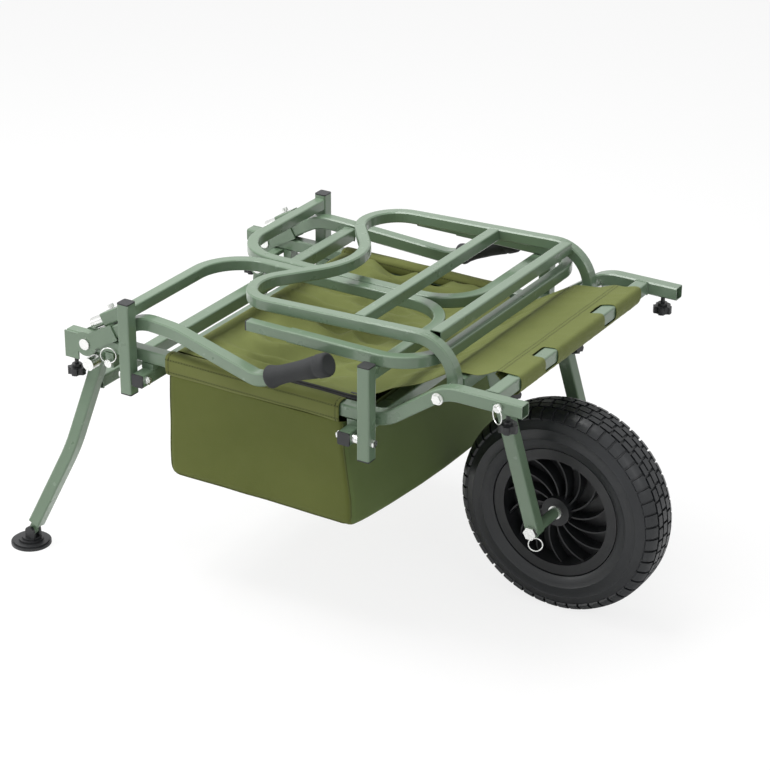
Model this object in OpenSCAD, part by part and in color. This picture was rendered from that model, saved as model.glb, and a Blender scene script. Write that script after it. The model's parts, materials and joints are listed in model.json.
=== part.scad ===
// Folding fishing trolley: tubular barrow with one front wheel, a hanging bag,
// folding side frames, a hinged front rack, a stowed front bar, folding handles and folding legs.
// X points forward to the wheel, Z up, right is -Y. The origin is on the ground under the middle of its length.

/* [Tubes] */
// Side of the square tubes of the main frame, legs and handles
main_tube = 25; // [23:1:27]
// Side of the square tubes of the side frames, rack and front bar
bow_tube = 22; // [20:1:23]
// Side of the square tubes of the fork
fork_tube = 26; // [24:1:28]
// Wall of every square tube
tube_wall = 1.5; // [1:0.25:2]
// Outside corner radius of every square tube
tube_round = 3; // [2:0.5:4]

/* [Rails] */
// Half the distance between the middles of the two rails
rail_y = 298; // [290:1:310]
// Height of the middle of a rail behind its bend
rail_z = 445.5; // [435:0.5:460]
// Rise of a rail in its double bend
rail_rise = 85.5; // [75:0.5:95]
// Radius of the two bends of a rail
rail_bend_r = 90; // [70:5:110]
// Slope between the two bends of a rail
rail_slope = 35; // [30:1:40]
// Length of a rail behind the rear post
rail_tail = 158; // [155:1:170]
// Raised start of a rail, ahead of the front post
rail_raised = 171; // [165:1:180]
// Open front end of a rail, ahead of the front post
rail_nose = 294; // [285:1:310]

/* [Posts and side frames] */
// Distance between the rear and the front posts
post_gap = 514; // [480:2:560]
// Distance of a post outside the middle of its rail
post_out = 32; // [31:0.5:34]
// Height of a post with its caps
post_h = 182; // [170:2:200]
// Depth of a post below its hinge bolt
post_drop = 35; // [30:0.5:40]
// Height of the saddle between a rail and a cross tube
saddle_h = 11.5; // [10:0.5:13]
// Height of the underside of the folded side frames
side_frame_z = 525; // [522:0.5:530]
// Corner radius of a side frame, at the middle of its tube
side_bend_r = 95; // [80:5:110]
// Gap between the two folded side frames
side_gap = 3; // [2:0.5:8]

/* [Rack] */
// Distance of the rack hinge ahead of the front post
rack_hinge_ahead = 131; // [125:1:140]
// Height of the rack hinge
rack_hinge_z = 517; // [510:1:522]
// Half the distance between the middles of the rack's side tubes
rack_y = 252; // [240:1:262]
// Rise angle of the rack towards the front
rack_pitch = 2.2; // [1.5:0.1:3]
// Length of the rack behind its hinge
rack_len = 461; // [440:1:470]
// Radius of the front bends of the rack
rack_bend_r = 72; // [64:1:78]
// Radius of the rear corners of the rack
rack_corner_r = 68; // [60:1:76]
// Slope of the two flanks of the notch in the rear edge of the rack
notch_slope = 38; // [30:1:40]
// Radius at the bottom of the notch
notch_r = 128; // [110:1:135]
// Distance of the rear crossbar behind the rack hinge
rack_bar_rear = 198; // [180:1:215]
// Distance of the front crossbar behind the rack hinge
rack_bar_front = 43; // [38:1:60]

/* [Front bar] */
// Length of the front bar
front_bar_len = 371; // [350:1:380]
// Length of the thinner plug at each end of the front bar
plug_len = 89; // [70:1:100]
// Side of the plug
plug_side = 19; // [17:0.5:20]
// Corner radius of the front bar
front_bar_r = 88; // [80:1:95]

/* [Wheel and fork] */
// Distance of the axle ahead of the front post
axle_ahead = 226; // [222:1:235]
// Outside radius of the tyre
tyre_r = 203; // [198:1:206]
// Radius of the tyre's round section
tyre_section_r = 52; // [48:1:54]
// Half the distance between the middles of the fork arms
fork_y = 119; // [112:1:130]
// Radius of the axle
axle_r = 8; // [6:0.5:10]
// Number of curved ribs on each face of the rim
rib_count = 14; // [8:1:16]

/* [Legs and feet] */
// Distance of the leg hinge behind the rear post
leg_hinge_back = 111; // [108:1:114]
// Height of the leg hinge
leg_hinge_z = 396; // [393:1:397]
// Distance of the foot behind the rear post
foot_back = 240; // [230:1:260]
// Distance of a foot outside the middle of its rail
foot_out = 53; // [40:1:70]
// Radius of a foot
foot_r = 39; // [32:1:45]
// Height of the foot hinge
ankle_z = 30; // [28:1:34]

/* [Handles] */
// Distance of the handle hinge behind the rear post
handle_hinge_back = 113; // [111:1:115]
// Height of the handle hinge
handle_hinge_z = 439; // [437:1:441]
// Slope of the handle arm at its hinge
handle_slope = 29.5; // [28:0.5:31]
// Length of a grip
grip_len = 138; // [110:1:140]
// Radius of a grip
grip_r = 19.5; // [18.5:0.1:20]

/* [Bag] */
// Length of the bag
bag_len = 383; // [350:1:385]
// Distance of the bag ahead of the rear post
bag_ahead = 75; // [70:1:90]
// Height of the bottom of the bag
bag_floor_z = 219; // [180:1:260]
// Thickness of the bag's fabric
fabric = 3; // [2:0.5:4]

/* [Hidden] */
$fn = 48;

paint = [0.50, 0.57, 0.51];
black_plastic = [0.07, 0.07, 0.07];
zinc = [0.78, 0.78, 0.78];
rubber = [0.09, 0.10, 0.11];
olive_cloth = [0.42, 0.44, 0.25];

// Clearance of a turning fit, a sliding face and a bolt hole
turn_gap = 0.08;
face_gap = 0.3;
hole_gap = 0.25;

half_tube = main_tube / 2;
half_bow = bow_tube / 2;
half_fork = fork_tube / 2;

// Lengthwise places, with the trolley centred on the origin between foot and tyre
rear_x = (foot_back + foot_r - post_gap - axle_ahead - tyre_r) / 2;
front_x = rear_x + post_gap;
axle_x = front_x + axle_ahead;
axle_z = tyre_r;
pivot_x = front_x + rack_hinge_ahead;
pivot_z = rack_hinge_z;
rail_front_x = front_x + rail_nose;
rail_top = rail_z + half_tube;
rail_raised_z = rail_z + rail_rise;
post_y = rail_y + post_out;

cross_z = rail_z - main_tube - saddle_h;
post_washer = 3;
rear_cross_x = rear_x + main_tube + post_washer;
post_spacer = 14.5;
middle_cross_x = front_x - main_tube - post_spacer;
front_cross_x = axle_x - 3;
cross_half = post_y + half_tube + 0.5;
cap_t = 2.5;
post_bolt_r = 4;
pivot_bolt_r = 5;

// The folded front bar lies on the side frames, inside the posts
side_z = side_frame_z + half_bow;
bar_z = side_frame_z + bow_tube + face_gap + half_bow;
bar_front_x = pivot_x - 28;

// Handle hinge and the straight pieces of the handle arm
handle_x = rear_x - handle_hinge_back;
channel_wall = 3;
channel_inner = half_tube + face_gap;
arm_start = 66;
hump_z = handle_hinge_z + 72;
hump_x = handle_x + 72 / tan(handle_slope);
bend_x = rear_x + 296;
arm_end_x = rear_x + 440;
grip_y = rail_y + 40;
bend_z = 478;
arm_end_z = 542;
grip_slope = atan((arm_end_z - bend_z) / (arm_end_x - bend_x));
handle_bar_x = rear_x + 91;
handle_bar_z = 500.5;

// Leg hinge, knee and ankle
leg_x = rear_x - leg_hinge_back;
leg_y = rail_y - half_tube - 16;
ankle_ahead = 6;
hip = [leg_x, -leg_y, leg_hinge_z];
knee = [rear_x - 156, -rail_y - 12, 214];
ankle = [rear_x - foot_back + ankle_ahead, -rail_y - foot_out, ankle_z];
leg_pin_r = 12.5;
foot_pin_r = 4;

function length_of(v) = sqrt(v * v);
function unit(v) = v / length_of(v);
// Points of a smooth bend at b on the way from a to c, reaching t along each side
function bend_points(a, b, c, t, n = 6) =
    let (p = b + unit(a - b) * t, q = b + unit(c - b) * t)
    [for (i = [0:n]) let (u = i / n) (1 - u) * (1 - u) * p + 2 * u * (1 - u) * b + u * u * q];
// Corner points of a square section with cut corners
function section_points(s, c) = let (h = s / 2, k = s / 2 - c)
    [[h, -k], [h, k], [k, h], [-k, h], [-h, k], [-h, -k], [-k, -h], [k, -h]];
function path_tangent(path, i) =
    unit(path[min(i + 1, len(path) - 1)] - path[max(i - 1, 0)]);

// Tube of square section along a path in space, hollow from end to end
module space_tube(path, s, flat) {
    outer = section_points(s, 2.5);
    inner = section_points(s - 2 * tube_wall, 1.2);
    n = 8;
    m = len(path);
    points = [for (skin = [outer, inner], i = [0:m - 1])
        let (t = path_tangent(path, i), a = unit(cross(is_list(flat[0]) ? flat[i] : flat, t)), b = cross(t, a))
        for (p = skin) path[i] + a * p[0] + b * p[1]];
    inside = n * m;
    faces = concat(
        [for (i = [0:m - 2], j = [0:n - 1]) let (k = (j + 1) % n)
            [n * i + j, n * (i + 1) + j, n * (i + 1) + k, n * i + k]],
        [for (i = [0:m - 2], j = [0:n - 1]) let (k = (j + 1) % n)
            [inside + n * i + k, inside + n * (i + 1) + k, inside + n * (i + 1) + j, inside + n * i + j]],
        [for (j = [0:n - 1]) let (k = (j + 1) % n) [j, k, inside + k, inside + j]],
        [for (j = [0:n - 1]) let (k = (j + 1) % n, e = n * (m - 1))
            [e + k, e + j, inside + e + j, inside + e + k]]);
    polyhedron(points, faces, convexity = 8);
}

function corner_points(s, r) = [for (q = [0:3], k = [0:3])
    let (a = q * 90 + k * 30, d = q * 90 + 45, c = (s / 2 - r) * sqrt(2))
    [c * cos(d) + r * cos(a), c * sin(d) + r * sin(a)]];
module round_square(s, r) { polygon(corner_points(s, r)); }
module tube_section(s) {
    difference() {
        round_square(s, tube_round);
        square(s - 2 * tube_wall, center = true);
    }
}

// Runs and bends in one plane from the origin along +X: [length, bend radius, turn to the left]
module bent(runs, i = 0) {
    if (i < len(runs)) {
        run = runs[i][0];
        radius = runs[i][1];
        turn = runs[i][2];
        side = turn < 0 ? -1 : 1;
        if (run > 0) rotate([90, 0, 90]) linear_extrude(run) children();
        translate([run, 0, 0]) {
            if (turn != 0) translate([0, side * radius, 0])
                rotate([0, 0, turn > 0 ? -90 : 90 + turn])
                    rotate_extrude(angle = abs(turn), $fn = 96) translate([radius, 0]) children();
            translate([0, side * radius, 0]) rotate([0, 0, turn]) translate([0, -side * radius, 0])
                bent(runs, i + 1) children();
        }
    }
}

// Straight square tube along Y between two places
module tube_y(x, z, y0, y1, s) {
    translate([x, y0, z]) rotate([-90, 0, 0]) linear_extrude(y1 - y0) tube_section(s);
}

module rod_y(x, z, y0, y1, r) {
    translate([x, y0, z]) rotate([-90, 0, 0]) cylinder(r = r, h = y1 - y0);
}

module hexagon(r, h) { cylinder(r = r, h = h, $fn = 6); }

module both_sides() {
    children();
    mirror([0, 1, 0]) children();
}

// One rail, drawn for the right side
rise_1 = rail_bend_r * (1 - cos(rail_slope));
slope_run = (rail_rise - 2 * rise_1) / sin(rail_slope);
rail_up = front_x + rail_raised;
rail_step = rail_slope / 7;
rail_bend_1 = [rail_up - 2 * rail_bend_r * sin(rail_slope) - slope_run * cos(rail_slope), -rail_y, rail_z];
rail_bend_2 = [rail_up - rail_bend_r * sin(rail_slope), -rail_y, rail_raised_z - rise_1];
rail_path = concat(
    [[rear_x - rail_tail, -rail_y, rail_z]],
    [for (i = [0:7]) rail_bend_1 + rail_bend_r * [sin(i * rail_step), 0, 1 - cos(i * rail_step)]],
    [for (i = [7:-1:0]) rail_bend_2 + rail_bend_r * [sin(rail_slope) - sin(i * rail_step), 0, cos(i * rail_step) - cos(rail_slope)]],
    [[rail_front_x, -rail_y, rail_raised_z]]);
module rail() {
    difference() {
        space_tube(rail_path, main_tube, [0, 1, 0]);
        rod_y(pivot_x, pivot_z, -rail_y - main_tube, -rail_y + main_tube, pivot_bolt_r + hole_gap);
        rod_y(handle_x, handle_hinge_z, -rail_y - main_tube, -rail_y + main_tube, handle_pin_r + hole_gap);
        rod_y(front_pin_x, rail_raised_z, -rail_y - main_tube, -rail_y, pin_r + turn_gap);
        translate([front_knob_x, -rail_y, rail_raised_z - main_tube]) cylinder(r = stud_r + turn_gap, h = main_tube);
        translate([rear_knob_x, -rail_y + rear_knob_in, rail_z - main_tube]) cylinder(r = stud_r + turn_gap, h = main_tube);
    }
}
module rail_right() { color(paint) rail(); }
module rail_left() { color(paint) mirror([0, 1, 0]) rail(); }

// Tubes across the frame
module cross_tube(x) {
    difference() {
        union() {
            tube_y(x, cross_z, -cross_half + cap_t, cross_half - cap_t, main_tube);
            for (s = [-1, 1]) translate([x - half_tube, s * rail_y - half_tube, cross_z + half_tube - 0.5])
                cube([main_tube, main_tube, saddle_h + 0.5]);
        }
        for (s = [-1, 1]) translate([x - main_tube, s * post_y, cross_z]) rotate([0, 90, 0])
            cylinder(r = post_bolt_r + hole_gap, h = 2 * main_tube);
    }
}
module rear_cross_tube() { color(paint) cross_tube(rear_cross_x); }
module middle_cross_tube() { color(paint) cross_tube(middle_cross_x); }
module front_cross_tube() {
    color(paint) tube_y(front_cross_x, rail_raised_z, -rail_y + half_tube, rail_y - half_tube, main_tube);
}

// Plastic cap: a plate on the tube's end and a plug inside it, facing up
module end_cap(s, plug = 8) {
    linear_extrude(cap_t) round_square(s, tube_round);
    translate([0, 0, -plug]) linear_extrude(plug) square(s - 2 * tube_wall - 0.4, center = true);
}
module cross_tube_caps() {
    color(black_plastic) for (x = [rear_cross_x, middle_cross_x], s = [-1, 1])
        translate([x, s * (cross_half - cap_t), cross_z]) rotate([-s * 90, 0, 0]) end_cap(main_tube, 5.5);
}

// Hinge bolts of the posts, through post, washer and cross tube
post_bolts_x = [[rear_x - half_tube, rear_cross_x + half_tube, 0], [front_x + half_tube, middle_cross_x - half_tube, 180]];
module post_bolt(grip) {
    cylinder(r = post_bolt_r, h = grip + 9);
    translate([0, 0, -6]) hexagon(7.5, 6);
    translate([0, 0, grip]) difference() {
        hexagon(7.5, 6.5);
        translate([0, 0, -1]) cylinder(r = post_bolt_r, h = 9);
    }
}
module post_bolts() {
    color(zinc) for (b = post_bolts_x, s = [-1, 1])
        translate([b[0], s * post_y, cross_z]) rotate([0, b[2] == 0 ? 90 : -90, 0]) post_bolt(abs(b[1] - b[0]));
}

// Hinge bolts of the rack, through rail, spacer, rack leg and fork crossbar
rack_outer_y = rack_y + half_bow;
rack_inner_y = rack_y - half_bow;
module pivot_bolts() {
    color(zinc) both_sides() {
        rod_y(pivot_x, pivot_z, -rail_y - half_tube, -rack_inner_y + 28, pivot_bolt_r);
        translate([pivot_x, -rail_y - half_tube, pivot_z]) rotate([90, 0, 0]) {
            cylinder(r = 11, h = 1.6);
            hexagon(9, 7);
        }
    }
}

// Washers and spacers on the two kinds of bolt
module ring(r_out, r_in, h) {
    difference() {
        cylinder(r = r_out, h = h);
        translate([0, 0, -1]) cylinder(r = r_in, h = h + 2);
    }
}
module spacers() {
    color(zinc) both_sides() {
        translate([rear_x + half_tube + face_gap / 2, -post_y, cross_z]) rotate([0, 90, 0])
            ring(9, post_bolt_r + hole_gap, post_washer - face_gap);
        translate([front_x - half_tube - post_spacer + face_gap / 2, -post_y, cross_z]) rotate([0, 90, 0])
            ring(8, post_bolt_r + hole_gap, post_spacer - face_gap);
        translate([pivot_x, -rack_outer_y - face_gap, pivot_z]) rotate([90, 0, 0])
            ring(10, pivot_bolt_r + hole_gap, rail_y - half_tube - rack_outer_y - face_gap);
    }
}

// Fork: a crossbar on the rack hinge line and two swept arms
fork_half = rack_inner_y - face_gap;
fork_drop = pivot_z - axle_z;
fork_reach = axle_x - pivot_x;
fork_sweep = atan(fork_reach / fork_drop);
fork_len = sqrt(fork_drop * fork_drop + fork_reach * fork_reach);
module fork_crossbar() {
    color(paint) difference() {
        union() {
            tube_y(pivot_x, pivot_z, -fork_half, fork_half, fork_tube);
            for (s = [-1, 1]) translate([pivot_x, s * (fork_half - 10), pivot_z]) rotate([90, 0, 0])
                linear_extrude(20, center = true) square(fork_tube - tube_wall, center = true);
        }
        for (s = [-1, 1]) translate([pivot_x, s * fork_half, pivot_z]) rotate([s * 90, 0, 0])
            cylinder(r = pivot_bolt_r + hole_gap, h = 60, center = true);
    }
}
module fork_arm() {
    difference() {
        translate([pivot_x, -fork_y, pivot_z]) rotate([0, -fork_sweep, 0]) difference() {
            union() {
                translate([0, 0, -fork_len]) linear_extrude(fork_len) tube_section(fork_tube);
                translate([0, 0, -fork_len]) rotate([90, 0, 0]) linear_extrude(fork_tube, center = true)
                    difference() {
                        circle(half_fork);
                        circle(half_fork - tube_wall);
                        translate([-fork_tube, 0]) square([2 * fork_tube, fork_tube]);
                    }
                for (s = [-1, 1]) translate([0, s * (half_fork - 1), -fork_len]) rotate([90, 0, 0])
                    linear_extrude(2, center = true) circle(half_fork);
            }
            translate([0, 0, -fork_knob_drop]) rotate([0, 90, 0]) cylinder(r = stud_r + turn_gap, h = fork_tube);
        }
        translate([pivot_x, -fork_y, pivot_z]) cube([fork_tube + 0.02, 2 * fork_tube, fork_tube + 0.02], center = true);
        translate([pivot_x - fork_tube, -fork_y - fork_tube, pivot_z + half_fork]) cube(2 * fork_tube);
        rod_y(axle_x, axle_z, -fork_y - fork_tube, -fork_y + fork_tube, axle_r + hole_gap);
    }
}
module fork_arm_right() { color(paint) fork_arm(); }
module fork_arm_left() { color(paint) mirror([0, 1, 0]) fork_arm(); }

// Axle with its head, nut, sleeves and split ring
hub_half = 42;
module axle_sleeves() {
    color(paint) both_sides() translate([axle_x, -hub_half - 1 - face_gap, axle_z]) rotate([90, 0, 0])
        ring(axle_r + 2.5, axle_r + hole_gap, fork_y - half_fork - hub_half - 1 - 2 * face_gap);
}
module axle_pin() {
    outer = fork_y + half_fork;
    color(zinc) {
        rod_y(axle_x, axle_z, -outer, outer + 12, axle_r);
        translate([axle_x, -outer, axle_z]) rotate([90, 0, 0]) hexagon(13, 8);
        translate([axle_x, outer, axle_z]) rotate([-90, 0, 0]) hexagon(13, 9);
        translate([axle_x + 12, -outer - 5, axle_z - 19]) rotate([0, 0, 20]) rotate([90, 0, 0])
            rotate_extrude() translate([13, 0]) circle(1.2, $fn = 16);
    }
}

// Wheel
bead_r = tyre_r - 77;
module tyre() {
    groove = 4;
    color(rubber) translate([axle_x, 0, axle_z]) rotate([90, 0, 0]) difference() {
        rotate_extrude($fn = 96) difference() {
            translate([tyre_r - tyre_section_r, 0]) circle(tyre_section_r, $fn = 64);
            translate([tyre_r - tyre_section_r, 0]) circle(tyre_section_r - 7, $fn = 64);
            translate([0, -tyre_section_r]) square([bead_r, 2 * tyre_section_r]);
            for (s = [-1, 1]) translate([tyre_r - groove, s * 10 - 2]) square([groove + 1, 4]);
        }
    }
}
rim_well_r = bead_r - face_gap;
dish_r = bead_r - 20;
hub_shell_r = 28;
web_half = 3;
module rim() {
    flange_y = 40;
    color(black_plastic) translate([axle_x, 0, axle_z]) rotate([90, 0, 0]) rotate_extrude($fn = 96) {
        translate([rim_well_r - 6, -flange_y]) square([6, 2 * flange_y]);
        for (s = [-1, 1]) translate([dish_r, s * (flange_y + 1.5) - 1.5]) square([rim_well_r - dish_r, 3]);
        translate([dish_r, -flange_y]) square([3, 2 * flange_y]);
        translate([hub_shell_r - 1, -web_half]) square([dish_r - hub_shell_r + 2, 2 * web_half]);
        translate([13.1, -hub_half + 2]) square([hub_shell_r - 13.1, 2 * hub_half - 4]);
    }
}

// Curved ribs on both faces of the rim's web, from the hub to the well
module rim_ribs() {
    rib_r = 75;
    rib_h = 27;
    color(black_plastic) translate([axle_x, 0, axle_z]) rotate([90, 0, 0])
        for (k = [0:rib_count - 1], s = [0, 1]) rotate([0, 0, k * 360 / rib_count])
            translate([0, 0, s == 0 ? web_half : -web_half - rib_h]) linear_extrude(rib_h) intersection() {
                translate([0, rib_r]) difference() {
                    circle(rib_r + 1.5, $fn = 64);
                    circle(rib_r - 1.5, $fn = 64);
                }
                difference() {
                    circle(dish_r - face_gap);
                    circle(hub_shell_r + face_gap);
                }
                translate([0, -5]) square([dish_r + 1, rib_r + 5]);
            }
}
module hub_bush() {
    color(zinc) translate([axle_x, 0, axle_z]) rotate([90, 0, 0]) translate([0, 0, -hub_half - 1])
        ring(13, axle_r + turn_gap, 2 * hub_half + 2);
}

// Brackets under the rails: a folded plate carries each leg and a lug holds its pull pin
bracket_t = 8;
rear_pin_x = rear_x - 59;
rear_pin_z = 413;
module hinge_lugs() {
    inner = leg_y - half_tube - face_gap - bracket_t;
    under = rail_z - half_tube;
    color(paint) both_sides() {
        difference() {
            union() {
                translate([0, -inner, 0]) rotate([90, 0, 0]) linear_extrude(bracket_t) {
                    translate([leg_x, leg_hinge_z]) circle(16);
                    polygon([[leg_x - 12, leg_hinge_z + 10.5], [leg_x + 12, leg_hinge_z - 10.5],
                             [leg_x + 42, under - bracket_t], [leg_x + 42, under], [leg_x + 22.5, under]]);
                }
                translate([leg_x + 22.5, -rail_y, under - bracket_t]) cube([19.5, rail_y - inner, bracket_t]);
            }
            rod_y(leg_x, leg_hinge_z, -rail_y, -inner + 1, leg_pin_r + hole_gap);
        }
        difference() {
            translate([rear_pin_x - 9, -rail_y - half_tube, rear_pin_z - 9])
                cube([18, main_tube, rail_z - half_tube - rear_pin_z + 9]);
            rod_y(rear_pin_x, rear_pin_z, -rail_y - main_tube, -rail_y + 4, pin_r + turn_gap);
        }
    }
}

// Fixed hinge pins of the handle and the leg
handle_pin_r = 5;
module hinge_pins() {
    outer = channel_inner + channel_wall + face_gap;
    color(zinc) both_sides() {
        rod_y(handle_x, handle_hinge_z, -rail_y - outer, -rail_y + outer, handle_pin_r);
        for (s = [-1, 1]) rod_y(handle_x, handle_hinge_z, -rail_y + s * (outer + 1.25) - 1.25,
                                -rail_y + s * (outer + 1.25) + 1.25, 11);
        rod_y(leg_x, leg_hinge_z, -rail_y - half_tube + face_gap, -leg_y + half_tube + bracket_t, leg_pin_r);
    }
}

// Bag hanging between the rails, with hems over the rails and a sloping deck cloth
bag_back = rear_x + bag_ahead;
bag_out = rail_y + half_tube + face_gap;
bag_top = 424;
bag_flare = 14;
module bag_side(wall, top) {
    polygon([
        [bag_back + wall, bag_floor_z + wall], [bag_back + bag_len + bag_flare - wall, bag_floor_z + wall],
        [bag_back + bag_len + bag_flare - 4 - wall, bag_floor_z + 60], [bag_back + bag_len - wall, bag_floor_z + 170],
        [bag_back + bag_len - wall, top], [bag_back + wall, top]
    ]);
}
module bag() {
    color(olive_cloth) rotate([90, 0, 0]) difference() {
        linear_extrude(2 * (bag_out + fabric), center = true) bag_side(0, bag_top);
        linear_extrude(2 * bag_out, center = true) bag_side(fabric, bag_top + 1);
    }
}
module bag_hems() {
    gap = half_tube + face_gap;
    color(olive_cloth) both_sides()
        translate([bag_back - 4, -rail_y, rail_z]) rotate([90, 0, 90]) linear_extrude(bag_len - 6) {
            translate([-gap - fabric, bag_top - rail_z]) square([fabric, gap + fabric - bag_top + rail_z]);
            translate([-gap - fabric, gap]) square([2 * gap + 2 * fabric, fabric]);
            translate([gap, -gap]) square([fabric, 2 * gap + fabric]);
        }
}
deck_half = 232;
deck_front_z = rail_raised_z + half_tube + 1;
module deck_cloth() {
    sleeve_r = half_tube + face_gap;
    top = rail_top + face_gap + fabric;
    over = pivot_z + half_fork + face_gap;
    color(olive_cloth) rotate([90, 0, 0]) linear_extrude(2 * deck_half, center = true) {
        polygon([
            [bag_back, top - fabric], [middle_cross_x, top - fabric], [pivot_x - half_fork, over],
            [pivot_x + half_fork, over + 1], [front_cross_x - sleeve_r, deck_front_z - 3.5],
            [front_cross_x - sleeve_r, deck_front_z - 0.5], [pivot_x + half_fork - 1, over + fabric + 1],
            [pivot_x - half_fork - 1, over + fabric], [middle_cross_x, top], [bag_back, top]
        ]);
        translate([front_cross_x, rail_raised_z]) difference() {
            square(2 * sleeve_r + 4, center = true);
            square(2 * sleeve_r, center = true);
        }
    }
}

// Side frames: a bow of tube between a rear and a front post
module side_bow() {
    reach = post_y - half_tube - side_gap / 2 - half_bow;
    long_run = post_gap - 2 * side_bend_r;
    color(paint) translate([rear_x, -post_y + half_tube, side_z]) rotate([0, 0, 90])
        bent([[reach - side_bend_r, side_bend_r, -90], [long_run, side_bend_r, -90], [reach - side_bend_r, 0, 0]])
            tube_section(bow_tube);
}
module side_bow_right() { side_bow(); }
module side_bow_left() { mirror([0, 1, 0]) side_bow(); }
post_low = cross_z - post_drop;
module side_posts() {
    color(paint) for (x = [rear_x, front_x]) difference() {
        translate([x, -post_y, post_low + cap_t]) linear_extrude(post_h - 2 * cap_t) tube_section(main_tube);
        translate([x - main_tube, -post_y, cross_z]) rotate([0, 90, 0])
            cylinder(r = post_bolt_r + turn_gap, h = 2 * main_tube);
    }
}
module side_posts_right() { side_posts(); }
module side_posts_left() { mirror([0, 1, 0]) side_posts(); }
module post_caps() {
    color(black_plastic) for (x = [rear_x, front_x]) {
        translate([x, -post_y, post_low + post_h - cap_t]) end_cap(main_tube);
        translate([x, -post_y, post_low + cap_t]) mirror([0, 0, 1]) end_cap(main_tube);
    }
}
module post_caps_right() { post_caps(); }
module post_caps_left() { mirror([0, 1, 0]) post_caps(); }

// Rack: side tubes that bend down to the hinge in front and meet in a notched rear edge
rack_drop = 6;
rack_arc_z = pivot_z + rack_drop;
rack_turn = 90 + rack_pitch;
module rack_frame() {
    translate([pivot_x, 0, rack_arc_z]) translate([-rack_bend_r, 0, 0]) rotate([0, -rack_pitch, 0])
        translate([0, 0, rack_bend_r]) children();
}
// Half of the rack's path, from the right hinge end round to the middle of the notch
rack_run = rack_len - rack_bend_r - rack_corner_r - half_bow;
notch_flank = (rack_y - rack_corner_r - (rack_corner_r + notch_r) * sin(notch_slope)) / cos(notch_slope);
rack_back = [-cos(rack_pitch), 0, -sin(rack_pitch)];
rack_normal = [-sin(rack_pitch), 0, cos(rack_pitch)];
function rack_dir(t) = rack_back * cos(t) + [0, sin(t), 0];
function rack_out(t) = rack_back * sin(t) - [0, cos(t), 0];
rack_arc = [for (i = [0:12]) let (t = rack_turn * i / 12)
    [pivot_x - rack_bend_r * (1 - cos(t)), -rack_y, rack_arc_z + rack_bend_r * sin(t)]];
corner_mid = rack_arc[12] + rack_back * rack_run + [0, rack_corner_r, 0];
corner_arc = [for (i = [0:16]) corner_mid + rack_out((90 + notch_slope) * i / 16) * rack_corner_r];
notch_mid = corner_arc[16] + rack_dir(90 + notch_slope) * notch_flank + rack_out(90 + notch_slope) * notch_r;
notch_arc = [for (i = [0:5]) notch_mid - rack_out(90 + notch_slope * (1 - i / 5)) * notch_r];
half_rack = concat([[pivot_x, -rack_y, pivot_z - 12]], rack_arc, corner_arc, notch_arc);
rack_path = concat(half_rack, [for (i = [len(half_rack) - 2:-1:0]) [half_rack[i][0], -half_rack[i][1], half_rack[i][2]]]);
rack_flats = [for (i = [0:len(rack_path) - 1])
    i < 14 ? [0, 1, 0] : i > len(rack_path) - 15 ? [0, -1, 0] : cross(path_tangent(rack_path, i), rack_normal)];
module rack_loop() {
    color(paint) difference() {
        space_tube(rack_path, bow_tube, rack_flats);
        both_sides() rod_y(pivot_x, pivot_z, -rack_y - bow_tube, -rack_y + bow_tube, pivot_bolt_r + turn_gap);
    }
}
module rack_crossbars() {
    color(paint) rack_frame() for (d = [rack_bar_rear, rack_bar_front])
        translate([rack_bend_r - d, 0, 0]) tube_y(0, 0, -rack_inner_y, rack_inner_y, bow_tube);
}

// Stowed front bar: a bow whose thinner ends plug into the open ends of the rails
module front_bar() {
    run = front_bar_len - plug_len - front_bar_r - half_bow;
    color(paint) difference() {
        union() {
            translate([bar_front_x - front_bar_r - half_bow - run, -rail_y, bar_z])
                bent([[run, front_bar_r, 90], [2 * (rail_y - front_bar_r), front_bar_r, 90], [run, 0, 0]])
                    tube_section(bow_tube);
            for (s = [-1, 1]) translate([bar_front_x - front_bar_len + cap_t, s * rail_y, bar_z])
                rotate([90, 0, 90]) linear_extrude(plug_len + 12) difference() {
                    round_square(plug_side, 2);
                    square(plug_side - 3, center = true);
                }
        }
    }
}
module front_bar_caps() {
    color(black_plastic) for (s = [-1, 1])
        translate([bar_front_x - front_bar_len, s * rail_y, bar_z]) rotate([90, 0, 90]) {
            linear_extrude(cap_t) round_square(plug_side, 2);
            linear_extrude(cap_t + 8) square(plug_side - 3.4, center = true);
        }
}

// Handle: bent arms in channels that straddle the rails, a crossbar and two grips
module along_arm(y = 0) { translate([handle_x, -rail_y + y, handle_hinge_z]) rotate([0, -handle_slope, 0]) children(); }
function arm_point(d) = [handle_x + d * cos(handle_slope), -rail_y, handle_hinge_z + d * sin(handle_slope)];
arm_hump = [hump_x, -rail_y, hump_z];
arm_bar = [handle_bar_x, -rail_y - 3, 507];
arm_bend = [bend_x, -grip_y, bend_z];
arm_end = [arm_end_x, -grip_y, arm_end_z];
arm_path = concat([arm_point(arm_start)], bend_points(arm_point(arm_start), arm_hump, arm_bar, 26),
    bend_points(arm_hump, arm_bar, arm_bend, 22), bend_points(arm_bar, arm_bend, arm_end, 18), [arm_end]);
module handle_arm() { color(paint) space_tube(arm_path, main_tube, [0, 0, 1]); }
module handle_arm_right() { handle_arm(); }
module handle_arm_left() { mirror([0, 1, 0]) handle_arm(); }
module handle_crossbar() {
    half = rail_y + 3 - half_tube - face_gap;
    color(paint) tube_y(handle_bar_x, handle_bar_z, -half, half, main_tube);
}
channel_len = 78;
web_start = 40;
module channel_plate(tail) {
    translate([handle_x, handle_hinge_z]) difference() {
        union() {
            if (tail) translate([-47, -35]) square([31, 53]);
            if (tail) translate([-18, -6]) square([20, 24]);
            circle(24);
            rotate(handle_slope) translate([0, -channel_inner - channel_wall])
                square([channel_len, 2 * (channel_inner + channel_wall)]);
        }
        circle(handle_pin_r + turn_gap);
    }
}
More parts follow.
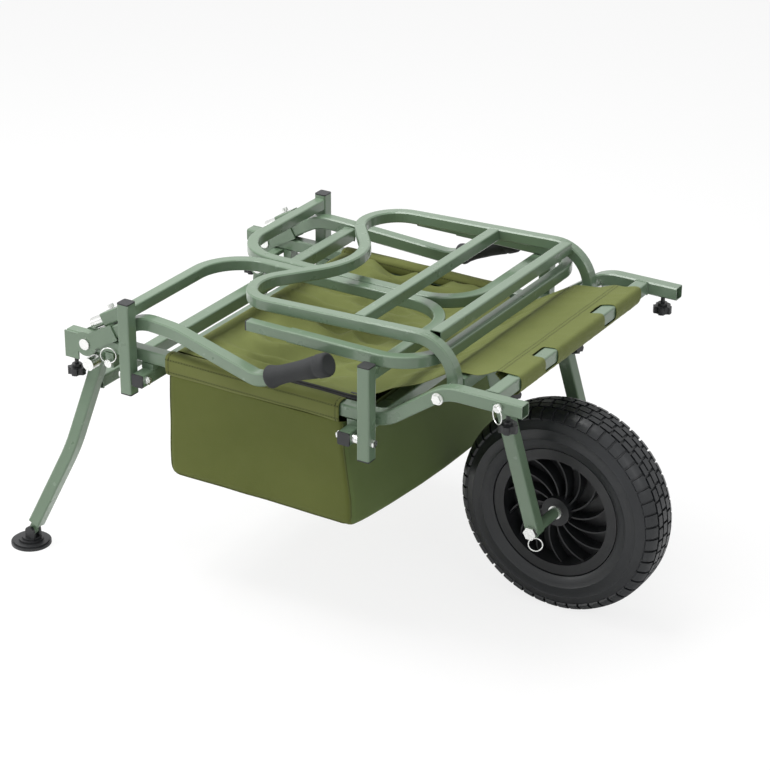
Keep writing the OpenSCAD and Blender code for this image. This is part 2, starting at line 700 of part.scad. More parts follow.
module hinge_channel() {
    color(paint) {
        for (s = [-1, 1]) translate([0, -rail_y + s * (channel_inner + channel_wall / 2), 0]) rotate([90, 0, 0])
            linear_extrude(channel_wall, center = true) channel_plate(s < 0);
        along_arm() translate([web_start, -channel_inner, channel_inner])
            cube([channel_len - web_start, 2 * channel_inner, channel_wall]);
    }
}
module hinge_channel_right() { hinge_channel(); }
module hinge_channel_left() { mirror([0, 1, 0]) hinge_channel(); }
module grip() {
    color(black_plastic) translate(arm_end) rotate([0, 90 - grip_slope, 0]) difference() {
        translate([0, 0, -grip_len + 5]) rotate_extrude() {
            square([grip_r, grip_len - 14]);
            translate([0, grip_len - 14]) square([grip_r - 2, 12]);
            translate([0, grip_len - 10]) square([grip_r + 1.5, 8]);
            square([grip_r - 3, grip_len]);
            square([grip_r + 1.5, 6]);
        }
        translate([0, 0, -grip_len]) linear_extrude(grip_len + 0.3) square(main_tube + 0.6, center = true);
    }
}
module grip_right() { grip(); }
module grip_left() { mirror([0, 1, 0]) grip(); }

// Sprung bolts that lock the handle: a square guide on each arm holds a round bolt
guide_n = channel_inner + channel_wall + half_tube;
guide_in = 8;
guide_start = 55;
guide_len = 46;
lock_r = half_tube - tube_wall - turn_gap;
lock_knob_at = 80;
module lock_guides() {
    color(paint) both_sides() along_arm(guide_in) translate([guide_start, 0, guide_n]) difference() {
        rotate([90, 0, 90]) linear_extrude(guide_len) difference() {
            round_square(main_tube, tube_round);
            circle(lock_r + turn_gap);
        }
        translate([11, -3.6, 0]) cube([26, 7.2, main_tube]);
    }
}
module lock_bolt() {
    color(zinc) along_arm(guide_in) translate([0, 0, guide_n]) {
        translate([22, 0, 0]) rotate([0, 90, 0]) cylinder(r = lock_r, h = 70);
        translate([lock_knob_at, 0, 0]) cylinder(r = 3, h = half_tube + 3);
        translate([lock_knob_at, 0, half_tube + 2]) cylinder(r = 6, h = 7);
    }
}
module lock_bolt_right() { lock_bolt(); }
module lock_bolt_left() { mirror([0, 1, 0]) lock_bolt(); }

// Legs: bored ends on the hinge pins, splayed tubes with a knee, a crossbar and swivel feet
thigh = unit(hip - knee);
shin = unit(knee - ankle);
stub_len = 40;
leg_start = hip - thigh * stub_len;
shin_end = ankle + shin * 22;
leg_path = concat([leg_start], bend_points(leg_start, knee, shin_end, 30), [shin_end]);
module leg() { color(paint) space_tube(leg_path, main_tube, [0, 1, 0]); }
module leg_right() { leg(); }
module leg_left() { mirror([0, 1, 0]) leg(); }
module leg_crossbar() {
    at = hip - thigh * (54 / thigh[2]);
    half = -at[1] - half_tube / cos(asin(thigh[1])) - half_tube * thigh[1] / thigh[2] - face_gap;
    color(paint) tube_y(at[0], at[2], -half, half, main_tube);
}
module leg_ends() {
    color(paint) both_sides() {
        difference() {
            union() {
                translate(hip) rotate([90, 0, 0]) cylinder(r = 17, h = main_tube, center = true);
                translate(hip) rotate([-asin(thigh[1]), atan(thigh[0] / thigh[2]), 0])
                    translate([0, 0, -stub_len]) linear_extrude(stub_len) round_square(main_tube, tube_round);
            }
            translate(hip) rotate([90, 0, 0]) cylinder(r = leg_pin_r + turn_gap, h = 2 * main_tube, center = true);
            translate([leg_x - main_tube, -leg_y + half_tube, leg_hinge_z - 30]) cube([2 * main_tube, 20, 60]);
        }
        difference() {
            union() {
                translate(ankle) rotate([90, 0, 0]) cylinder(r = 9, h = 12, center = true);
                translate(ankle) multmatrix([[1, 0, shin[0] / shin[2], 0], [0, 1, shin[1] / shin[2], 0],
                                             [0, 0, 1, 0], [0, 0, 0, 1]])
                    translate([-9, -3.8, 0]) cube([18, 7.6, 16 * shin[2]]);
                translate(ankle) rotate([-asin(shin[1]), atan(shin[0] / shin[2]), 0]) translate([0, 0, 18])
                    linear_extrude(4) round_square(main_tube, tube_round);
            }
            translate(ankle) rotate([90, 0, 0]) cylinder(r = foot_pin_r + turn_gap, h = 30, center = true);
        }
    }
}
module foot() {
    color(black_plastic) translate([ankle[0] - ankle_ahead, ankle[1], 0]) {
        rotate_extrude($fn = 72) {
            square([foot_r, 5]);
            square([foot_r - 4, 8]);
            square([24, 12]);
            square([18, 16]);
        }
        for (s = [-1, 1]) translate([0, s * (6.3 + 3), 0]) difference() {
            rotate([90, 0, 0]) linear_extrude(6, center = true) {
                translate([ankle_ahead, ankle_z]) circle(10);
                translate([ankle_ahead - 10, 10]) square([20, ankle_z - 10]);
            }
        }
        translate([ankle_ahead, 0, ankle_z]) rotate([90, 0, 0]) cylinder(r = foot_pin_r, h = 24, center = true);
    }
}
module foot_right() { foot(); }
module foot_left() { mirror([0, 1, 0]) foot(); }

// Star knobs with their screwed studs, drawn with the stud up
stud_r = 4;
knob_r = 17.5;
module star_knob(stud) {
    color(black_plastic) {
        difference() {
            cylinder(r = knob_r, h = 14);
            for (k = [0:4]) rotate([0, 0, k * 72 + 36]) translate([knob_r + 3, 0, -1]) cylinder(r = 7, h = 16, $fn = 24);
        }
        cylinder(r = 9, h = 20);
        cylinder(r = stud_r, h = 20 + stud);
    }
}
front_knob_x = front_x + 262;
rear_knob_x = rear_x - 151;
rear_knob_in = 5;
fork_knob_drop = 62;
module front_knob() { translate([front_knob_x, -rail_y, rail_raised_z - half_tube - 34]) star_knob(26); }
module front_knob_right() { front_knob(); }
module front_knob_left() { mirror([0, 1, 0]) front_knob(); }
module rear_knob() {
    translate([rear_knob_x, -rail_y + rear_knob_in, 363]) star_knob(rail_z - half_tube - 363 - 20 + 12);
}
module rear_knob_right() { rear_knob(); }
module rear_knob_left() { mirror([0, 1, 0]) rear_knob(); }
module fork_knob() {
    translate([pivot_x, -fork_y, pivot_z]) rotate([0, -fork_sweep, 0])
        translate([half_fork + 20 + face_gap, 0, -fork_knob_drop]) rotate([0, -90, 0]) star_knob(10);
}
module fork_knob_right() { fork_knob(); }
module fork_knob_left() { mirror([0, 1, 0]) fork_knob(); }

// Pull pins with rings
pin_r = 4;
front_pin_x = front_x + 250;
module pull_pin(x, z, inside, ring_drop, ring_turn, ring_out) {
    face = rail_y + half_tube;
    rod_y(x, z, -face - 6, -face + inside, pin_r);
    rod_y(x, z, -face - 6, -face - face_gap, 8);
    translate([x + 3, -face - ring_out, z - ring_drop]) rotate([0, 0, ring_turn]) rotate([90, 0, 0])
        rotate_extrude() translate([15, 0]) circle(1.1, $fn = 16);
}
module front_pin() { color(zinc) pull_pin(front_pin_x, rail_raised_z, 8, 10, -32, 10.5); }
module front_pin_right() { front_pin(); }
module front_pin_left() { mirror([0, 1, 0]) front_pin(); }
module rear_pin() { color(zinc) pull_pin(rear_pin_x, rear_pin_z, 14, -18, 20, 7); }
module rear_pin_right() { rear_pin(); }
module rear_pin_left() { mirror([0, 1, 0]) rear_pin(); }

rail_right();
rail_left();
rear_cross_tube();
middle_cross_tube();
front_cross_tube();
cross_tube_caps();
post_bolts();
pivot_bolts();
spacers();
fork_crossbar();
fork_arm_right();
fork_arm_left();
axle_sleeves();
axle_pin();
hinge_lugs();
hinge_pins();
bag();
bag_hems();
deck_cloth();
side_bow_right();
side_bow_left();
side_posts_right();
side_posts_left();
post_caps_right();
post_caps_left();
rack_loop();
rack_crossbars();
front_bar();
front_bar_caps();
handle_arm_right();
handle_arm_left();
handle_crossbar();
hinge_channel_right();
hinge_channel_left();
grip_right();
grip_left();
lock_guides();
lock_bolt_right();
lock_bolt_left();
leg_right();
leg_left();
leg_crossbar();
leg_ends();
foot_right();
foot_left();
front_knob_right();
front_knob_left();
rear_knob_right();
rear_knob_left();
fork_knob_right();
fork_knob_left();
front_pin_right();
front_pin_left();
rear_pin_right();
rear_pin_left();
tyre();
rim();
rim_ribs();
hub_bush();
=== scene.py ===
"""Looks for the folded fishing trolley: painted tube frame, sewn bag and deck, pneumatic wheel.

Everything is in metres in the frame's own axes: +X forward to the wheel, +Z up, -Y right.
"""

import json
import math

import bmesh
import bpy
from mathutils import Matrix, Quaternion, Vector, noise


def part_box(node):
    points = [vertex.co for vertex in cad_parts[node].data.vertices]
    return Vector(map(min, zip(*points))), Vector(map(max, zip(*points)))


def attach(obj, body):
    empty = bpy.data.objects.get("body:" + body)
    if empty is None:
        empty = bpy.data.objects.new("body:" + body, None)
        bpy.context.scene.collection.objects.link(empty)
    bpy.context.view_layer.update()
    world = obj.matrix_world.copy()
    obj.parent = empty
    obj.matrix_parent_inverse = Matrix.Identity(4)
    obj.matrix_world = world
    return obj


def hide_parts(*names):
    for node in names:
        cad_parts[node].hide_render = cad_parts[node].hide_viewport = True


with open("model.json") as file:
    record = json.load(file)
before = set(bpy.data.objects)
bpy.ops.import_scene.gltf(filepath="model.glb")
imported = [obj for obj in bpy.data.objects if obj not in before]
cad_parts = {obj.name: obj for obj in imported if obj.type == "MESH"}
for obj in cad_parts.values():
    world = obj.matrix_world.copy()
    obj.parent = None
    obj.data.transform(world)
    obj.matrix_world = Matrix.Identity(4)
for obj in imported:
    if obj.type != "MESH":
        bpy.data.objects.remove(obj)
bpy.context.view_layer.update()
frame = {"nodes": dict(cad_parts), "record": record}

# Camera: it looks down on the trolley from its right front, with a long lens
# from nearly five metres, so the tubes stay close to parallel.
view_azimuth, view_elevation, view_roll = (math.radians(a) for a in (31.4, 25.2, 0.3))
view_distance = 4.711
looked_at = Vector((0.0182, 0, 0.3457))
towards_camera = Vector((
    math.sin(view_azimuth) * math.cos(view_elevation),
    -math.cos(view_azimuth) * math.cos(view_elevation),
    math.sin(view_elevation)))
camera = bpy.data.objects.new("camera", bpy.data.cameras.new("camera"))
camera.data.lens = 116.8
camera.data.sensor_width = 36
camera.location = looked_at + towards_camera * view_distance
level_view = towards_camera.to_track_quat("Z", "Y")
camera.rotation_euler = (level_view @ Quaternion((0, 0, 1), view_roll)).to_euler()
bpy.context.scene.collection.objects.link(camera)
bpy.context.scene.camera = camera
bpy.context.scene.view_settings.view_transform = "Standard"


# Studio: a white room with a large soft lamp above, a softer one from the left
# front and a weak one from the wheel's side; the floor keeps a light shadow.
class Signal:
    """One shader socket; arithmetic on it adds Math nodes."""

    def __init__(self, nodes, socket):
        self.nodes, self.socket = nodes, socket

    def maths(self, operation, *values):
        return self.nodes.node("ShaderNodeMath", {"operation": operation}, *values)

    def __add__(self, other):
        return self.maths("ADD", self, other)

    def __sub__(self, other):
        return self.maths("SUBTRACT", self, other)

    def __rsub__(self, other):
        return self.maths("SUBTRACT", other, self)

    def __mul__(self, other):
        return self.maths("MULTIPLY", self, other)

    def __gt__(self, other):
        return self.maths("GREATER_THAN", self, other)

    def __or__(self, other):
        return self.maths("MAXIMUM", self, other)

    def wave(self, length):
        """A sine of this value with the given wavelength."""
        return self.maths("SINE", self * (2 * math.pi / length))

    def near(self, place, reach):
        """1 where this value lies within reach of place, else 0."""
        return self.maths("COMPARE", self, place, reach)

    __radd__, __rmul__, __ror__ = __add__, __mul__, __or__


class Nodes:
    """Adds nodes to one shader tree."""

    def __init__(self, tree):
        self.tree = tree

    def feed(self, socket, value):
        """Links a signal to a socket or sets it to a value; None leaves it as it is."""
        if isinstance(value, Signal):
            self.tree.links.new(value.socket, socket)
        elif value is not None:
            socket.default_value = (*value, 1) if socket.type == "RGBA" else value

    def node(self, kind, settings=None, *values, out=0, **named):
        """Adds a node: its settings first, then its sockets in order, then those by name."""
        made = self.tree.nodes.new(kind)
        for key, value in (settings or {}).items():
            setattr(made, key, value)
        for socket, value in zip(made.inputs, values):
            self.feed(socket, value)
        for key, value in named.items():
            self.feed(made.inputs[key.replace("_", " ")], value)
        return Signal(self, made.outputs[out])

    def ray(self, kind):
        """1 on rays of a kind, such as Camera, else 0."""
        return self.node("ShaderNodeLightPath", out=f"Is {kind} Ray")


class Finish(Nodes):
    """A named material with a Principled shader as its surface."""

    def __init__(self, name, **constants):
        self.material = bpy.data.materials.new(name)
        self.material.use_nodes = True
        super().__init__(self.material.node_tree)
        self.shader = self.tree.nodes["Principled BSDF"]
        self.where = self.node("ShaderNodeTexCoord", out="Object")
        self.wear(**constants)

    def wear(self, **looks):
        """Feeds looks, such as Base_Color, into the shader."""
        for key, value in looks.items():
            self.feed(self.shader.inputs[key.replace("_", " ")], value)

    def parts(self, vector):
        """A vector's three parts."""
        return [self.node("ShaderNodeSeparateXYZ", None, vector, out=axis) for axis in "XYZ"]

    def cloud(self, scale, detail=3.0):
        """Soft noise from 0 to 1 over Object coordinates."""
        return self.node("ShaderNodeTexNoise", None, Vector=self.where, Scale=scale, Detail=detail)

    def mix(self, amount, first, second):
        """A colour between two colours."""
        number_and_vector_sockets = [None] * 5
        return self.node("ShaderNodeMix", {"data_type": "RGBA"}, amount,
                         *number_and_vector_sockets, first, second, out=2)

    def relief(self, height, depth):
        """Bumps the surface by a height from 0 to 1 of the given depth in metres."""
        self.wear(Normal=self.node(
            "ShaderNodeBump", None, Strength=1.0, Distance=depth, Height=height))


room = bpy.data.worlds.new("studio_room")
bpy.context.scene.world = room
room.use_nodes = True
room_nodes = Nodes(room.node_tree)
room_light = room.node_tree.nodes["Background"]
light_on_object = 0.46
white_room_seen = (
    room_nodes.ray("Camera") | room_nodes.ray("Transmission") | room_nodes.ray("Glossy"))
room_nodes.feed(room_light.inputs["Color"], (1, 1, 1))
room_nodes.feed(room_light.inputs["Strength"],
                white_room_seen * (1 - light_on_object) + light_on_object)

lamps_aim = Vector((0, 0, 0.35))
for lamp_name, lamp_place, lamp_size, lamp_watts in (
        ("top_lamp", (-0.7, -0.2, 3.0), 2.0, 88),
        ("left_lamp", (-2.6, -2.4, 1.7), 1.6, 36),
        ("wheel_lamp", (2.8, -1.4, 1.8), 1.2, 12)):
    lamp = bpy.data.objects.new(lamp_name, bpy.data.lights.new(lamp_name, "AREA"))
    lamp.data.size, lamp.data.energy = lamp_size, lamp_watts
    lamp.location = lamp_place
    lamp.rotation_euler = (Vector(lamp_place) - lamps_aim).to_track_quat("Z", "Y").to_euler()
    bpy.context.scene.collection.objects.link(lamp)

floor_half, floor_gap = 30, 0.0005
floor_mesh = bmesh.new()
bmesh.ops.create_grid(floor_mesh, x_segments=1, y_segments=1, size=floor_half)
floor = bpy.data.objects.new("floor", bpy.data.meshes.new("floor"))
floor_mesh.to_mesh(floor.data)
floor.location = (0, 0, -floor_gap)
bpy.context.scene.collection.objects.link(floor)
floor_paint = Finish(
    "floor_paint", Roughness=0.9, Base_Color=(0.92, 0.92, 0.92), Specular_IOR_Level=0.0)
floor_glow = floor_paint.node("ShaderNodeEmission", None, Strength=1.04)
glow_share = 0.78
floor_paint.feed(
    floor_paint.tree.nodes["Material Output"].inputs["Surface"],
    floor_paint.node("ShaderNodeMixShader", None, floor_paint.ray("Camera") * glow_share,
                     Signal(floor_paint, floor_paint.shader.outputs[0]), floor_glow))
floor.data.materials.append(floor_paint.material)

# Frame tubes: welded square steel tube with a satin grey-green powder coat, a
# little orange peel in the coat and faint handling marks.
green_coat = Finish("green_powder_coat", Coat_Weight=0.5, Coat_Roughness=0.12)
coat_colour = green_coat.mix(green_coat.cloud(5.0), (0.102, 0.160, 0.098), (0.146, 0.216, 0.142))
handling_marks = green_coat.cloud(60.0, 6.0) > 0.69
green_coat.wear(
    Base_Color=green_coat.mix(handling_marks * 0.28, coat_colour, (0.27, 0.34, 0.27)),
    Roughness=green_coat.cloud(24.0) * 0.22 + 0.20)
green_coat.relief(green_coat.cloud(420.0, 1.0), 0.00012)

# Caps, knobs, feet and rim: injection-moulded black plastic with a fine spark
# grain, a little dust grey where it is handled.
black_moulding = Finish("black_moulding")
black_moulding.wear(
    Base_Color=black_moulding.mix(
        black_moulding.cloud(14.0), (0.0055, 0.0060, 0.0070), (0.0150, 0.0160, 0.0175)),
    Roughness=black_moulding.cloud(30.0) * 0.25 + 0.3)
black_moulding.relief(black_moulding.cloud(1500.0, 2.0), 0.00008)

# Bolts, pins, washers and rings: zinc-plated steel, brushed by the plating
# barrel and slightly cloudy.
zinc_plate = Finish("zinc_plate", Metallic=1.0)
zinc_plate.wear(
    Base_Color=zinc_plate.mix(zinc_plate.cloud(90.0), (0.62, 0.63, 0.61), (0.84, 0.85, 0.83)),
    Roughness=zinc_plate.cloud(160.0) * 0.2 + 0.18)
zinc_plate.relief(zinc_plate.cloud(900.0, 2.0), 0.00005)


# Canvas of the bag, hems and deck: coated olive cloth. Its weave is two crossed
# threads about one and a half millimetres apart; broad clouds, darker and lighter,
# are painted light and shade of folds, and seams are sewn grooves with a line of
# pale stitches, the grooves darkened with painted shade.
def canvas(name, dark, light, seams=(), front=None):
    """Olive canvas; seams are (axis index, place) of thread lines in metres.

    front gives two colours painted on faces that look forward: painted light, the tint of the
    light on the bag's shaded front panel.
    """
    cloth = Finish(name, Sheen_Weight=0.04, Specular_IOR_Level=0.22)
    along_x, along_y, along_z = cloth.parts(cloth.where)
    thread, stitch_length, groove_half, stitch_half = 0.0016, 0.006, 0.0013, 0.0006
    forward_limit, gap_limit, cloth_depth = 0.6, -0.35, 0.0006
    crossed = (along_x + along_y).wave(thread) * (along_z + along_y * 0.5).wave(thread)
    weave = crossed * 0.5 + 0.5
    # painted light and shade: broad clouds, darker and lighter, stand for the shading of folds
    painted_fold_shade = cloth.cloud(6.0, 5.0)
    colour = cloth.mix(painted_fold_shade, dark, light)
    # painted light: faces that look forward take the front colours, the tint of the light on the
    # bag's shaded front panel
    if front:
        facing = cloth.parts(cloth.node("ShaderNodeTexCoord", out="Normal"))[0]
        colour = cloth.mix(facing > forward_limit, colour, cloth.mix(painted_fold_shade, *front))
    colour = cloth.mix(weave * 0.25, colour, [c * 0.62 for c in dark])
    height = weave * 0.35 + cloth.cloud(160.0, 4.0) * 0.65
    for axis, at in seams:
        line = (along_x, along_y, along_z)[axis]
        run = along_x if axis else along_y
        groove = line.near(at, groove_half)
        stitch = line.near(at, stitch_half) * (run.wave(stitch_length) > gap_limit)
        # painted shade: each seam's groove is darkened
        colour = cloth.mix(groove * 0.8, colour, [c * 0.3 for c in dark])
        colour = cloth.mix(stitch * 0.5, colour, [c * 1.3 for c in light])
        height = height - groove * 0.8
    cloth.wear(Base_Color=colour, Roughness=cloth.cloud(40.0) * 0.15 + 0.68)
    cloth.relief(height, cloth_depth)
    return cloth


# Bag: a canvas box sewn at its corners and hung from the rails. It stands a
# little forward at its foot, sags between its corners, and is piped at its edges
# in darker canvas; along the foot that dark is painted shade of the lower edge.
bag_low, bag_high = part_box("bag")
bag_size, bag_middle = bag_high - bag_low, (bag_low + bag_high) / 2
corner_round, bag_wall, bag_cells = 0.013, 0.0016, (34, 52, 18)
top_pull, end_sag, side_sag, floor_sag = 0.014, 0.006, 0.005, 0.005
foot_slump = Vector((0.024, 0, -0.010))
fold_depth, crease_depth = 0.0032, 0.0016


def share(value, start, length):
    """How far a value is along a stretch, from 0 at its start to 1 at its end."""
    return min(max((value - start) / length, 0), 1)


def swell(part):
    """0 at both ends of a stretch and 1 in its middle."""
    return math.sin(math.pi * part)


def bumps(x, y, z):
    """Smooth noise between about -1 and 1, the same on each run."""
    return noise.noise(Vector((x, y, z)))


def hang(point):
    """Moves a point of the straight bag to where the hanging cloth lies."""
    along = (point.x - bag_low.x) / bag_size.x
    across = (point.y - bag_low.y) / bag_size.y
    up = (point.z - bag_low.z) / bag_size.z
    belly = swell(share(up, 0, 1))
    moved = Vector(point)
    moved.x -= top_pull * share(up, 0.25, 0.5) * along
    moved.x += end_sag * belly * swell(across) * (1 if along < 0.5 else -0.8)
    moved.y += side_sag * belly * swell(along) * (1 if across < 0.5 else -1)
    moved.z -= floor_sag * swell(along) * swell(across) * (1 - min(up * 4, 1))
    frontward, low_down = max(0, (along - 0.5) * 2) ** 2, 1 - min(up * 1.4, 1)
    moved += foot_slump * (swell(across) ** 0.7 * frontward * low_down)
    fold = bumps(point.x * 5 + point.z * 3, point.y * 4, point.z * 9)
    crease = bumps(point.x * 16, point.y * 13 + 7, point.z * 5) * (1 - up * 0.4)
    outwards = Vector(((along - 0.5) * 2, (across - 0.5) * 2, 0))
    return moved + outwards * (fold_depth * fold + crease_depth * crease)


# front colours: painted light, a greener and bluer tint on the bag's forward-facing panel for the
# light it gets in shade
bag_cloth = canvas("bag_canvas", (0.082, 0.098, 0.018), (0.122, 0.142, 0.032),
                   front=((0.094, 0.136, 0.040), (0.140, 0.190, 0.070)))
bag_shell = bmesh.new()
bmesh.ops.create_cube(bag_shell, size=1)
bmesh.ops.scale(bag_shell, vec=bag_size, verts=bag_shell.verts)
bmesh.ops.translate(bag_shell, vec=bag_middle, verts=bag_shell.verts)
open_top = [f for f in bag_shell.faces if f.normal.z > 0.5]
bmesh.ops.delete(bag_shell, geom=open_top, context="FACES_ONLY")
sewn_edges = [e for e in bag_shell.edges if len(e.link_faces) == 2]
bmesh.ops.bevel(bag_shell, geom=sewn_edges, offset=corner_round, segments=4, profile=0.5,
                affect="EDGES", material=-1)
for axis, cells in enumerate(bag_cells):
    plane_across = Vector((0, 0, 0))
    plane_across[axis] = 1
    for cut in range(1, cells):
        plane_at = Vector(bag_low)
        plane_at[axis] += cut * bag_size[axis] / cells
        bmesh.ops.bisect_plane(
            bag_shell, geom=bag_shell.verts[:] + bag_shell.edges[:] + bag_shell.faces[:],
            plane_co=plane_at, plane_no=plane_across)
for vert in bag_shell.verts:
    vert.co = hang(vert.co)
bmesh.ops.recalc_face_normals(bag_shell, faces=bag_shell.faces)


def finished_piece(name, shape, finish, body, slot, *nodes, smooth=True):
    """A mesh piece that rides on a body, with its material and what it replaces."""
    piece = bpy.data.objects.new(name, bpy.data.meshes.new(name))
    shape.to_mesh(piece.data)
    shape.free()
    if smooth:
        piece.data.polygons.foreach_set("use_smooth", [True] * len(piece.data.polygons))
    piece.data.materials.append(finish.material)
    bpy.context.scene.collection.objects.link(piece)
    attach(piece, body)
    if nodes:
        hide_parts(*nodes)
    return piece


def thickened(piece, wall):
    """Gives a cloth piece its thickness on the inside and rounds it once."""
    solid = piece.modifiers.new("cloth_thickness", "SOLIDIFY")
    solid.thickness, solid.offset = wall, -1
    rounded = piece.modifiers.new("cloth_rounding", "SUBSURF")
    rounded.levels = rounded.render_levels = 1


bag = finished_piece("bag_shell", bag_shell, bag_cloth, "frame", "olive_cloth", "bag")
thickened(bag, bag_wall)


def piping(name, points, radius, finish, body, slot):
    """A round bead of the given radius through the points, as a mesh."""
    line = bpy.data.curves.new(name, "CURVE")
    line.dimensions = "3D"
    line.bevel_depth, line.bevel_resolution, line.use_fill_caps = radius, 2, True
    spline = line.splines.new("POLY")
    spline.points.add(len(points) - 1)
    for knot, point in zip(spline.points, points):
        knot.co = (*point, 1)
    shaped = bpy.data.objects.new(name, line)
    mesh = bpy.data.meshes.new_from_object(shaped)
    bpy.data.objects.remove(shaped)
    shape = bmesh.new()
    shape.from_mesh(mesh)
    return finished_piece(name, shape, finish, body, slot)


def straight(start, end, steps):
    """Points from a start to just before an end, in equal steps."""
    return [tuple(a + (b - a) * i / steps for a, b in zip(start, end)) for i in range(steps)]


# the piping's darker canvas: painted shade along the bag's foot
piping_and_shade_cloth = canvas("piping_and_shade_canvas", (0.060, 0.072, 0.018), (0.100, 0.115, 0.030))
piping_radius, under_hem, turn_angles = 0.0015, 0.004, (0.0, 0.4, 0.8, 1.2)
inset, turn = corner_round * 0.29, corner_round * 1.3
rear, front = bag_low.x + inset, bag_high.x - inset
foot, head = bag_low.z + inset, bag_high.z - under_hem
rear_turn = [(rear + turn * (1 - math.cos(a)), foot + turn * (1 - math.sin(a)))
             for a in turn_angles]
front_turn = [(front - turn * (1 - math.sin(a)), foot + turn * (1 - math.cos(a)))
              for a in turn_angles]
course = straight((rear, head), (rear, foot + turn), 20) + rear_turn
course += straight((rear + turn, foot), (front - turn, foot), 24) + front_turn
course += straight((front, foot + turn), (front, head), 20) + [(front, head)]
for side_name, edge_y in (("right", bag_low.y + inset), ("left", bag_high.y - inset)):
    piping(f"bag_piping_{side_name}", [hang(Vector((x, edge_y, z))) for x, z in course],
           piping_radius, piping_and_shade_cloth, "frame", "olive_cloth")

# Bag hems: the bag's upper edges, folded over the rails and stitched twice, so
# the rails run through two long sleeves.
hem_low, hem_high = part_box("bag_hems")
hem_canvas = canvas("hem_canvas", (0.105, 0.122, 0.028), (0.170, 0.188, 0.056), [
    (2, hem_low.z + 0.005), (2, hem_low.z + 0.029),
    (0, hem_low.x + 0.008), (0, hem_high.x - 0.008)])
hem_out, hem_in = -hem_low.y, 0.2835
hem_foot, hem_top = hem_low.z, hem_high.z + 0.001
hem_wall, hem_steps, hem_ripple, hem_rise = 0.0024, 48, 0.0016, 0.0012
hem_section = [
    (hem_out - 0.0005, hem_foot - 0.002), (hem_out + 0.001, hem_foot + 0.008),
    (hem_out + 0.001, hem_foot + 0.016), (hem_out + 0.001, hem_foot + 0.026),
    (hem_out, hem_top - 0.007), (hem_out - 0.003, hem_top - 0.002),
    (hem_out - 0.008, hem_top), (hem_out - 0.016, hem_top + 0.0005),
    (hem_in + 0.008, hem_top), (hem_in + 0.002, hem_top - 0.003),
    (hem_in, hem_top - 0.010), (hem_in + 0.0005, hem_foot + 0.012)]


def chain(points):
    """A bmesh of one open chain of edges through the points."""
    shape = bmesh.new()
    verts = [shape.verts.new(point) for point in points]
    for first, second in zip(verts, verts[1:]):
        shape.edges.new((first, second))
    return shape


def drawn_out(points, run, steps):
    """A sheet: the chain through the points, extruded along a run in equal steps."""
    shape = chain(points)
    edges = shape.edges[:]
    for _ in range(steps):
        grown = bmesh.ops.extrude_edge_only(shape, edges=edges)["geom"]
        edges = [g for g in grown if isinstance(g, bmesh.types.BMEdge)]
        verts = [g for g in grown if isinstance(g, bmesh.types.BMVert)]
        bmesh.ops.translate(shape, vec=[r / steps for r in run], verts=verts)
    return shape


def face_out(shape, way):
    """Turns a sheet's faces so that the one furthest in a direction looks that way."""
    bmesh.ops.recalc_face_normals(shape, faces=shape.faces)
    furthest = max(shape.faces, key=lambda f: f.calc_center_median().dot(way))
    if furthest.normal.dot(way) < 0:
        bmesh.ops.reverse_faces(shape, faces=shape.faces)


for side_name, side in (("right", -1), ("left", 1)):
    sleeve = drawn_out([(hem_low.x, side * y, z) for y, z in hem_section],
                       (hem_high.x - hem_low.x, 0, 0), hem_steps)
    for vert in sleeve.verts:
        vert.co.y += side * hem_ripple * bumps(vert.co.x * 14, vert.co.y * 5, vert.co.z * 22)
        vert.co.z += hem_rise * bumps(vert.co.x * 11 + 5, side * 3, 0)
    face_out(sleeve, Vector((0, side, 0)))
    hem = finished_piece(f"bag_hem_{side_name}", sleeve, hem_canvas, "frame", "olive_cloth",
                         "bag_hems")
    thickened(hem, hem_wall)

# Deck cloth: one canvas panel that closes the bag like a lid, with a flap down
# its rear wall. It climbs over the fork's crossbar and is sewn round the front
# tube in a sleeve with two windows.
deck_low, deck_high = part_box("deck_cloth")
front_low, front_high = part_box("front_cross_tube")
crossbar_low, crossbar_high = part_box("fork_crossbar")
middle_tube_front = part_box("middle_cross_tube")[1].x
lid_height = hem_high.z - 0.001
half_tube = (front_high.x - front_low.x) / 2
tube_x, tube_z = (front_low.x + front_high.x) / 2, (front_low.z + front_high.z) / 2
wrap = half_tube + 0.002
sleeve_top, sleeve_foot = tube_z + wrap, tube_z - wrap
seam_x = 0.372
rear_flap = [
    (deck_low.x - 0.0030, bag_high.z - 0.020), (deck_low.x - 0.0036, bag_high.z + 0.012),
    (deck_low.x - 0.0016, lid_height - 0.005)]
lid_course = [
    (deck_low.x + 0.004, lid_height), (-0.15, lid_height - 0.008), (0.0, lid_height - 0.011),
    (0.09, lid_height - 0.004), (middle_tube_front, lid_height + 0.002)]
climb = [
    (crossbar_low.x - 0.07, crossbar_high.z - 0.034),
    (crossbar_low.x - 0.006, crossbar_high.z + 0.0015),
    (crossbar_low.x + 0.004, crossbar_high.z + 0.0035),
    (crossbar_high.x, crossbar_high.z + 0.005), (0.344, crossbar_high.z + 0.0065),
    (seam_x - 0.010, sleeve_top - 0.0045)]
sleeve_course = [
    (seam_x, sleeve_top), (front_low.x, sleeve_top), (tube_x + wrap * 0.7, sleeve_top),
    (tube_x + wrap, tube_z + wrap * 0.7), (tube_x + wrap + 0.0015, tube_z),
    (tube_x + wrap, tube_z - wrap * 0.8), (tube_x + wrap * 0.6, sleeve_foot - 0.008),
    (tube_x, sleeve_foot - 0.010), (tube_x - wrap, sleeve_foot - 0.004),
    (seam_x - 0.004, sleeve_top - 0.006)]
deck_course = rear_flap + lid_course + climb + sleeve_course
deck_half_width, lid_half_width = deck_high.y, 0.2825
deck_wall, deck_cell, deck_steps = 0.0012, 0.009, 72
window_middles, window_half = (-0.119, 0.107), 0.0235
waist_depth, waist_stretch, widening_stretch = 0.006, (0.16, 0.2), (0.118, 0.05)
